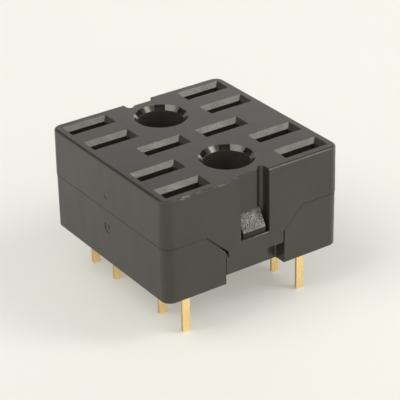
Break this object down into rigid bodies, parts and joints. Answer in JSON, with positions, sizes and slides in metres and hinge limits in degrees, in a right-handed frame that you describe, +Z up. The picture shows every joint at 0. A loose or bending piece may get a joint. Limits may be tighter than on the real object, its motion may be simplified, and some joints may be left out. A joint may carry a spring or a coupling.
{
  "type": "pushbutton pcb socket",
  "caption": "Square black plug-in socket for a small pushbutton switch: funnel-mouthed blade slots and two guide bores on top, gold solder pins below, two snapped housings.",
  "frame": {"origin": "centre of the underside of the body, where it meets the circuit board", "axes": "+Z up, away from the board; +X along the blade slots; -Y out of the front snap window"},
  "size_m": [0.0152, 0.0152, 0.0117],
  "materials": {
    "housing": "black moulded plastic with a fine satin finish",
    "contact": "gold plating over bronze sheet"
  },
  "bodies": {
    "root": {"cover": "housing", "base": "housing", "contact_1": "contact", "contact_2": "contact", "contact_3": "contact", "contact_4": "contact", "contact_5": "contact", "contact_6": "contact", "contact_7": "contact", "contact_8": "contact", "contact_9": "contact", "contact_10": "contact"}
  },
  "joints": []
}
